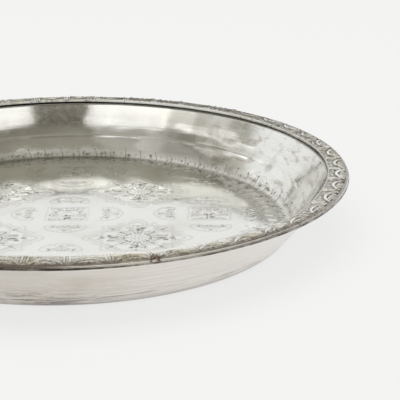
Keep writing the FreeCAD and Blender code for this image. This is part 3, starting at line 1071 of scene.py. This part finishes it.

# %% [markdown]
# ### Polished silver plate, engraved
# Silver plate on copper, burnished by hand: a soft mirror, warmer where the plate has
# thinned or tarnished, with dark tarnish in the engraved lines. A low roughness blurs what
# it mirrors, as fine wipe marks do. The chased cove is rougher and greyer at the back. The
# wall has a pitted patch at the back and stains at the right. A painted shadow darkens the
# sheet under the castings' overhang, most at the back. The bump adds what is too slight
# for the mesh: grain, fine rings on the wall, a burnished ring above the cove, and the
# planishing hammer's shallow blows, which break up what the wall mirrors.

# %% Material: polished silver plate
def polished_plate():
    """Pale base, layers of wear and a painted shadow by zone, and dark cuts; the bump is a sum of
    four heights.
    """
    material, tree, shader = new_material("silver_plate_burnished", 1.0)
    where, x, y, z = place_on(tree)
    flat = add_node(tree, "VectorMath", {0: where, 1: (1, 1, 0)}, operation="MULTIPLY")
    radius = add_node(tree, "VectorMath", {0: flat.outputs["Vector"]},
                      operation="LENGTH").outputs["Value"]
    cut = add_node(tree, "Attribute", attribute_name="cut").outputs["Fac"]
    on_wall = (z, 0.002, 0.005, 0, 1)
    on_right = (x, 0.08, 0.13, 0, 1)
    in_cove = combine(tree, "MULTIPLY", (radius, 0.1540, 0.1560, 0, 1),
                      (radius, 0.1595, 0.1640, 1, 0))
    wall_rings = clouds(tree, 40.0, 4.0, 0.6, (0.6, 0.6, 12.0))
    wall_patches = clouds(tree, 26.0, 4.0, 0.6, (1, 1, 1.5))
    stains = clouds(tree, 32.0, 4.0, 0.65, (1.0, 1.0, 0.6))
    runs = clouds(tree, 9.0, 4.0, 0.65, (0.5, 0.5, 1.6))
    base = add_node(tree, "ValToRGB", {"Fac": clouds(tree, 55.0, 4.0)}, stops=[
        (0.30, "#F6F7F5"), (0.55, "#F2F2EF"), (0.75, "#E7E6DF")]).outputs["Color"]
    base = paint(tree, base, [
        ("spots", "#B4AC9A", (clouds(tree, 6.0, 6.0, 0.7), 0.62, 0.78, 0, 0.35)),
        ("wall rings", "#CBC9C1", (wall_rings, 0.46, 0.70, 0, 0.22), on_wall),
        ("wall patches", "#D3D1C9", (wall_patches, 0.46, 0.70, 0, 0.3), on_wall),
        ("stains", "#A9A08F", (stains, 0.50, 0.62, 0, 0.60), on_wall, on_right),
        ("runs", "#A9A08F", (runs, 0.52, 0.64, 0, 0.60), on_wall, on_right),
        # painted shadow: a dark line on the sheet under the castings' overhang, darkest at the back
        ("seam", "#3E3B37", (z, 0.0390, 0.0398, 0, 0.85), (radius, 0.1880, 0.1900, 1, 0),
         (y, -0.08, -0.02, 0, 1), (x, 0.07, 0.14, 1, 0.78)),
        ("pits", "#9B9690", (clouds(tree, 4.0, 5.0, 0.7), 0.40, 0.60, 0.45, 0),
         (x, -0.050, -0.044, 0, 1), (x, -0.002, 0.008, 1, 0), (y, 0, 0.05, 0, 1),
         (z, 0.021, 0.027, 0, 1)),
        ("cove", "#8A857A", in_cove, (x, 0.02, 0.06, 0.65, 0)),
        ("cuts", "#736F66", (cut, 0, 0.9, 0, 0.85)),
    ])
    rough = combine(tree, "ADD", (clouds(tree, 14.0, 5.0, 0.6), 0.3, 0.7, 0.07, 0.15),
                    (cut, 0, 0.6, 0, 0.3), combine(tree, "MULTIPLY", in_cove, 0.28))
    heights = (
        (clouds(tree, 1.6, 4.0), 0.004),
        (clouds(tree, 20.0, 3.0, 0.6, (0.25, 0.25, 11.0)), on_wall, 0.022),
        ((z, 0.0152, 0.0164, 0, 1), (z, 0.0164, 0.0176, 1, 0), 0.055),
        ((clouds(tree, 34.0, 1.0, 0.5, (1.0, 1.0, 1.8)), 0, 1, -0.5, 0.5), on_wall,
         (x, 0.06, 0.13, 0.1, 0.8)),
    )
    height = combine(tree, "ADD", *(combine(tree, "MULTIPLY", *parts) for parts in heights))
    finish_with(tree, shader, base, rough, height, 1.0)
    return material


inside_plate = counted(polished_plate())

# %% [markdown]
# ### Spun outside of the dish
# The outside was turned against a stake and never burnished: faint rings run round it,
# the plate is duller and warmer, and scuffs gather near the table. It is painted paler at
# the right and darker near the table, with a dark painted shadow where it stands. A fine
# crease runs round where the wall meets the cove; it is painted as a dark line of shade.
# The hem has gone violet-brown, except next to the mended joint, where the mender's file
# left it bright, and a painted shadow runs along its fold.

# %% Tarnish of the rim's edge
def edge_tarnish(tree):
    """0 on clean metal to 1 on brown: slow clouds, cleared near the mended joint."""
    where, x, _, _ = place_on(tree)
    joint_at = around(RIM * MM, math.radians(FIRST_JOINT), FLANGE_TOP * MM).tolist()
    distance = add_node(tree, "VectorMath", {0: where, 1: joint_at},
                        operation="DISTANCE").outputs["Value"]
    return combine(tree, "MULTIPLY", (distance, 0.022, 0.040, 0.15, 1),
                   (x, 0.040, 0.062, 1, 0.4), (clouds(tree, 22.0, 4.0, 0.6), 0.36, 0.56, 0.45, 1))


# %% Material: outside of the dish
def spun_plate():
    """Clouds stretched into rings, which set the colour, the roughness and the bump alike."""
    material, tree, shader = new_material("silver_plate_brushed", 1.0)
    _, x, _, z = place_on(tree)
    streak = clouds(tree, 30.0, 4.0, 0.6, (0.5, 0.5, 22.0))
    crease_height = (clouds(tree, 60.0, 2.0, stretch=(1, 1, 0)), 0.3, 0.7, 0.0052, 0.0078)
    off_crease = combine(tree, "SUBTRACT", z, crease_height)
    off_crease = add_node(tree, "Math", {0: off_crease}, operation="ABSOLUTE").outputs["Value"]
    base = add_node(tree, "ValToRGB", {"Fac": streak}, stops=[
        (0.3, "#E2DBD2"), (0.5, "#E9E4DD"), (0.7, "#EFECE7")]).outputs["Color"]
    base = paint(tree, base, [
        ("blotches", "#C9BDB0", (clouds(tree, 48.0, 5.0, 0.65, (1, 1, 2.5)), 0.5, 0.72, 0, 0.5)),
        # painted light: the right side of the outside painted paler
        ("pale right", "#F4F2EE", (x, 0.06, 0.15, 0, 0.75)),
        ("dull left", "#A09784", (x, -0.02, 0.07, 0.22, 0)),
        # painted shade: darker near the table, and below it a painted shadow line at the foot where
        # it stands
        ("low part", "#857B72", (z, 0.0004, 0.0060, 0.55, 0)),
        ("foot", "#453F3A", (z, 0.0002, 0.0014, 0.85, 0)),
        ("scuffs", "#7A7378", (clouds(tree, 12.0, 6.0, 0.75, (0.7, 0.7, 9.0)), 0.49, 0.57, 0, 0.85),
         (x, 0, 0.05, 1, 0.25), (z, 0.006, 0.020, 1, 0)),
        # painted shade: a dark line along the crease
        ("crease", "#6E665E", (off_crease, 0.0001, 0.0006, 1, 0),
         (clouds(tree, 30.0, stretch=(1, 1, 0)), 0.42, 0.58, 0.05, 0.65)),
        ("hem", "#574E4C", edge_tarnish(tree), (z, 0.0392, 0.0397, 0, 1)),
        # painted shadow: a dark line along the hem's fold
        ("fold", "#3B3531", (z, 0.0403, 0.0406, 1, 0), (z, 0.0394, 0.0398, 0, 0.92),
         (clouds(tree, 12.0, stretch=(1, 1, 0)), 0.35, 0.6, 0.35, 1)),
    ])
    rough = combine(tree, "ADD", (streak, 0.3, 0.7, 0.30, 0.42))
    finish_with(tree, shader, base, rough, streak, 0.015)
    return material


outside_plate = counted(spun_plate())

# %% [markdown]
# ### Cast and plated rim
# The strips are cast brass with thin plating. The colour runs from a soft grey on the flat
# ground to bright on the high parts: partly wear from handling, partly painted highlight.
# The hollows at the foot of each ridge and the undercut inner edge are dark: partly old
# tarnish, partly painted shade. The ground is warmed by the brass in patches, and the lip
# next to the hem is browner. At the right the ramp is stronger, with paler ridges and a
# greyer ground: partly polish, partly painted highlight and shade. The back is painted
# darker as shade, and dirt lies in the gutter inside the bead. A painted highlight runs
# along the bead's outer side, and a painted shadow marks the line under the inner edge at
# the right. Masks made from the place on the tray say where each of these holds.

# %% Material: cast rim
def cast_plate():
    """Colour from ground to ridge by the height of the relief, partly painted highlight, under
    layers of wear, painted shade and painted highlight by zone.
    """
    material, tree, shader = new_material("silvered_cast_brass", 0.75)
    _, x, y, z = place_on(tree)
    lift, hollow, lip, across = (add_node(tree, "Attribute", attribute_name=name).outputs["Fac"]
                                 for name in ("lift", "hollow", "lip", "across"))
    grime = clouds(tree, 3.0, 5.0, 0.65)
    relief_part = combine(tree, "ADD", lift, (grime, 0.3, 0.7, -0.10, 0.10))
    dark_part = combine(tree, "ADD", hollow, (grime, 0.3, 0.7, -0.15, 0.15))
    # both ramps run from ground to ridge by the relief's height: partly wear, partly painted
    # highlight on the ridges
    dull = add_node(tree, "ValToRGB", {"Fac": relief_part}, stops=[
        (0.0, "#DDDBD2"), (0.25, "#E4E2DB"), (0.55, "#EFEDE8"), (0.9, "#F7F6F3")])
    clean = add_node(tree, "ValToRGB", {"Fac": relief_part}, stops=[
        (0.05, "#B3B1A9"), (0.28, "#D9D7D1"), (0.55, "#F9F8F5"), (0.9, "#FFFFFF")])
    worn = (x, 0.04, 0.15, 1, 0.2)
    middle = (x, 0, 0.025, 0, 1)
    base = paint(tree, dull.outputs["Color"], [
        # at the right a stronger ramp: partly polish, partly painted highlight on the ridges and
        # painted shade on the ground
        ("cleaned right", clean.outputs["Color"], (x, 0.07, 0.15, 0, 0.85)),
        ("bare brass", "#C6BD95", (clouds(tree, 18.0, 4.0), 0.45, 0.62, 0, 0.6), worn),
        ("brown", "#A19382", (clouds(tree, 9.0, 5.0, 0.65), 0.54, 0.70, 0, 0.6), worn),
        ("dulled", "#9A9282", (across, 0.20, 0.95, 0, 0.50), worn),
        ("lip", "#857C70", lip, edge_tarnish(tree)),
        # partly old tarnish, partly painted shade in the recesses and under the inner edge
        ("hollows", "#4F4B42", (dark_part, 0.15, 0.85, 0, 0.80), (x, 0.04, 0.15, 1, 0.65),
         (y, -0.10, -0.02, 0.62, 1)),
        # painted shade: the back of the band darker, in spots
        ("soot", "#6B686B", (clouds(tree, 3.5, 5.0, 0.7), 0.48, 0.62, 0, 0.65), (y, 0, 0.06, 0, 1)),
        ("pale land", "#F8F7F4", (across, 0.22, 0.42, 0.85, 0), middle, (x, 0.10, 0.14, 1, 0.3)),
        ("gutter", "#5C5048", (across, 0.72, 0.80, 0, 0.66), middle,
         (clouds(tree, 7.0, 4.0), 0.38, 0.60, 0.3, 1), (x, 0.14, 0.18, 1, 0.35)),
        # painted highlight along the outer side of the bead
        ("bright side", "#F4F1EC", (z, 0.0415, 0.0419, 1, 0), middle, (across, 0.90, 0.95, 0, 0.8)),
        ("stained side", "#5F5450", (x, -0.01, 0.02, 0.75, 0), (across, 0.88, 0.93, 0, 1)),
        # painted shade: the back of the band darker still, over its inner part
        ("far side", "#77736C", (y, 0.06, 0.10, 0, 1), (across, 0.15, 0.35, 0, 0.7),
         (x, 0.005, 0.03, 0, 1), (x, 0.12, 0.16, 1, 0)),
        ("crust", "#68635B", (clouds(tree, 2.6, 3.0, 0.6), 0.50, 0.57, 0, 0.55),
         (x, 0.12, 0.16, 0, 1), (relief_part, 0.30, 0.65, 1, 0.25), (across, 0.10, 0.20, 0.3, 1)),
        ("inner edge", "#7A7469", (across, 0.05, 0.12, 0.75, 0), (x, 0.09, 0.13, 0, 1),
         (y, 0.03, 0.07, 1, 0), (grime, 0.4, 0.6, 0.4, 1)),
        # painted shadow: the two dark lines below sit under the castings' inner edge at the right,
        # where it overhangs the wall
        ("seam", "#45413B", (across, 0.02, 0.05, 0.85, 0), (x, 0.172, 0.180, 0, 1),
         (y, 0.03, 0.05, 1, 0)),
        ("gap", "#3E3B37", (across, 0.002, 0.004, 1, 0), (z, 0.0429, 0.0432, 1, 0),
         (x, 0.170, 0.180, 0, 0.85)),
    ])
    rough = combine(tree, "ADD", (relief_part, 0, 0.8, 0.36, 0.22))
    finish_with(tree, shader, base, rough, clouds(tree, 0.9, 4.0), 0.03)
    return material


cast_metal = counted(cast_plate())

# %% [markdown]
# ### Solder
# Tin solder dulls to a dark grey with a soft shine, and lies a little rough. The mender's
# flux has drawn copper to the surface of the knot, so its skin is patchy, from grey to a
# pale copper. The mesh says by a number on its points which part is the knot.

# %% Material: solder
def solder_metal():
    """Grey tin, mixed with patchy copper by the number that marks the knot."""
    material, tree, shader = new_material("tin_solder", 1.0)
    skin = clouds(tree, 2.2, 5.0)
    tin = add_node(tree, "ValToRGB", {"Fac": skin}, stops=[(0.3, "#5C554C"), (0.6, "#8F887C")])
    copper = add_node(tree, "ValToRGB", {"Fac": skin}, stops=[
        (0.38, "#57504A"), (0.5, "#8C7F75"), (0.6, "#C6B4A8"), (0.7, "#E6DAD2")])
    knot = add_node(tree, "Attribute", attribute_name="knot").outputs["Fac"]
    base = paint(tree, tin.outputs["Color"], [("knot", copper.outputs["Color"], knot)])
    tree.links.new(base, shader.inputs["Base Color"])
    shader.inputs["Roughness"].default_value = 0.38
    bump = add_node(tree, "Bump", {"Height": skin, "Distance": 0.08 * MM, "Strength": 1.0})
    tree.links.new(bump.outputs["Normal"], shader.inputs["Normal"])
    return material


solder_skin = counted(solder_metal())

# %% [markdown]
# ### Each finish on its piece
# The dish is one mesh with two finishes. A face takes the outside one if it looks down, or
# if it lies on the outer edge of the hem.

# %% Put the materials on
def face_vectors(mesh, name):
    """Normals or centres of all faces."""
    values = np.empty(len(mesh.polygons) * 3)
    mesh.polygons.foreach_get(name, values)
    return values.reshape(-1, 3)


outside = face_vectors(dish.data, "normal")[:, 2] < -0.02
outside |= np.hypot(*face_vectors(dish.data, "center")[:, :2].T) / MM > RIM - 0.6
for material in (inside_plate, outside_plate):
    dish.data.materials.append(material)
dish.data.polygons.foreach_set("material_index", outside.astype(np.int32))
for strip in castings.values():
    strip.data.materials.append(cast_metal)
solder.data.materials.append(solder_skin)
print("outside faces:", int(outside.sum()), "of", len(outside))

# %% [markdown]
# ## Floor
# The tray stands on a plain pale sweep, which is partly a light of its own to the eye and
# to the metal, as a lit table is. So its shadow stays soft and light. A lamp would do this
# too, but it would fall on the tray as well. The sweep's sizes are in metres, as are the
# lamps' distances and the camera's place.

# %% Floor
FLOOR_SIZE, FLOOR_DROP, GLOW = 4.0, -0.00002, 0.83


def add_floor():
    """Pale disc just under the tray, with a glow that only eye and mirrors see."""
    bpy.ops.mesh.primitive_circle_add(vertices=96, radius=FLOOR_SIZE, fill_type="NGON",
                                      location=(0, 0, FLOOR_DROP))
    floor = bpy.context.object
    floor.name = "studio_floor"
    material, tree, shader = new_material("pale_sweep")
    shader.inputs["Base Color"].default_value = linear("#F0F0F0")
    shader.inputs["Roughness"].default_value = 0.9
    rays = add_node(tree, "LightPath").outputs
    seen = combine(tree, "ADD", rays["Is Camera Ray"], rays["Is Glossy Ray"],
                   rays["Is Transmission Ray"])
    glow = add_node(tree, "Emission", {"Color": linear("#F2F2F2"), "Strength": 1.0})
    blend = add_node(tree, "MixShader", {0: combine(tree, "ADD", (seen, 0, 1, 0, GLOW)),
                                         1: shader.outputs["BSDF"], 2: glow.outputs["Emission"]})
    end = next(node for node in tree.nodes if node.bl_idname == "ShaderNodeOutputMaterial")
    tree.links.new(blend.outputs["Shader"], end.inputs["Surface"])
    floor.data.materials.append(material)
    return floor


floor = add_floor()

# %% [markdown]
# ## Surround
# Metal has no colour of its own to show, only what it mirrors, so the surround is painted
# for its reflections. It is white low down and a warm grey higher up, with a darker flag
# at the left, as a studio has white walls and an unlit ceiling.

# %% Surround
world = bpy.data.worlds.new("studio")
bpy.context.scene.world = world
world.use_nodes = True
sky = world.node_tree
sky.nodes.clear()
_, sky_x, sky_y, sky_z = place_on(sky, "Generated")
surround = add_node(sky, "ValToRGB", {"Fac": sky_z}, stops=[
    (0.0, "#F0F0EF"), (0.46, "#F0F0EF"), (0.55, "#C9C7C0"), (0.61, "#A7A499"), (0.68, "#868278"),
    (0.77, "#767267"), (0.83, "#918E82"), (0.9, "#9B988B")]).outputs["Color"]
surround = paint(sky, surround, [
    ("flag", "#AEACA4", (sky_y, -0.10, -0.04, 0, 1), (sky_y, 0.14, 0.20, 1, 0),
     (sky_x, -0.70, -0.60, 1, 0), (sky_z, 0.38, 0.44, 0, 1), (sky_z, 0.54, 0.58, 1, 0))])
background = add_node(sky, "Background", {"Color": surround, "Strength": 1.0})
add_node(sky, "OutputWorld", {"Surface": background.outputs["Background"]})
print("surround ready:", len(sky.nodes), "nodes")

# %% [markdown]
# ## Lamps
# Two long softboxes stand behind the viewer with a dark gap between them. Cards and thin
# strips at the left give the wall its edges, and dim hazes soften the rest. The boxes
# overhead are for the floor of the tray, which mirrors them by way of the wall or straight
# away. A lamp that glossy rays can't see fills the shadows. Each lamp is given by the
# directions of its two ends, because a mirror shows directions, not distances.

# %% Lamps
def toward(azimuth, elevation):
    """Unit vector from the tray; azimuth is counted from +X towards +Y."""
    a, e = math.radians(azimuth), math.radians(elevation)
    return Vector((math.cos(a) * math.cos(e), math.sin(a) * math.cos(e), math.sin(e)))


def softbox(name, one_end, other_end, width, radiance, distance=8.0):
    """Rectangular lamp hung between two directions (azimuth, elevation), facing the tray.

    width is the angle that it covers across its length; radiance is its brightness as a
    mirror shows it, where 1 is white. It hangs 8 m away, so that every part of the tray
    sees it in nearly the same direction.
    """
    first, last = toward(*one_end) * distance, toward(*other_end) * distance
    along, outwards = (last - first).normalized(), ((first + last) / 2).normalized()
    across = outwards.cross(along)
    light = bpy.data.lights.new(name, "AREA")
    light.shape = "RECTANGLE"
    light.size = (last - first).length
    light.size_y = 2 * distance * math.tan(math.radians(width) / 2)
    light.energy = radiance * math.pi * light.size * light.size_y
    lamp = bpy.data.objects.new(name, light)
    lamp.matrix_world = (Matrix.Translation((first + last) / 2)
                         @ Matrix((along, across, outwards)).transposed().to_4x4())
    bpy.context.scene.collection.objects.link(lamp)
    print(name, "%.2f by %.2f m" % (light.size, light.size_y))
    return lamp


softbox("box_left", (262, 43), (219, 38), 16, 0.86)
softbox("box_right", (295, 42), (335, 36), 16, 0.86)
softbox("card_left", (220, 39.5), (202, 36.5), 12, 0.38)
softbox("strip_left", (211, 43), (190, 37), 1.8, 0.8)
softbox("strip_low", (189, 36.5), (163, 29), 2.2, 0.60)
softbox("strip_high", (193, 44), (168, 35), 1.8, 0.55)
softbox("card_back", (155, 34), (112, 29), 10, 0.32)
softbox("haze_right", (62, 34), (104, 38), 14, 0.16)
softbox("haze_corner", (98, 43), (134, 42), 13, 0.28)
softbox("overhead_front", (217, 67.5), (325, 66), 14.5, 0.92)
softbox("overhead_corner", (191, 65), (200, 75), 10, 0.70)
softbox("overhead_right", (333, 77), (341, 64), 11, 0.60)
softbox("overhead_left", (190, 63), (138, 45.5), 12, 0.68)
softbox("haze_left", (172, 48), (224, 52), 12, 0.16)
softbox("haze_back", (208, 53), (254, 52), 12, 0.13)
fill = softbox("ceiling_fill", (180, 60), (0, 60), 53, 1.75, 3.0)
fill.visible_glossy = False

# %% [markdown]
# ## Camera
# A long lens from a metre away, at 18 degrees above the table, close enough that the tray
# fills the width and runs out of view at the left.

# %% Camera
LENS_MM = 124.62
CAMERA_PLACE = (0.0965, -0.9432, 0.3306)
PITCH_DOWN, TURN_LEFT, ROLL = (math.radians(v) for v in (18.414, 0.11, 0.254))
camera_data = bpy.data.cameras.new("camera")
camera_data.lens, camera_data.sensor_width = LENS_MM, 36.0
camera = bpy.data.objects.new("camera", camera_data)
camera.matrix_world = (Matrix.Translation(CAMERA_PLACE) @ Matrix.Rotation(TURN_LEFT, 4, "Z")
                       @ Matrix.Rotation(math.pi / 2 - PITCH_DOWN, 4, "X")
                       @ Matrix.Rotation(ROLL, 4, "Z"))
bpy.context.scene.collection.objects.link(camera)
bpy.context.scene.camera = camera
bpy.context.scene.view_settings.view_transform = "Standard"
print("camera", [round(v, 3) for v in camera.location])

# %% [markdown]
# ## Tie the pieces to the imported model
# Each new piece rides on the one body of the tray, and the imported part that it stands for is
# hidden.

# %% Ride and replace
finished = [(dish, "dish", "silvered_sheet"), (solder, "solder_joints", "solder")]
finished += [(strip, node, "silvered_casting") for node, strip in castings.items()]
for piece, node, slot in finished:
    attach(piece, "root")
    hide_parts(node)
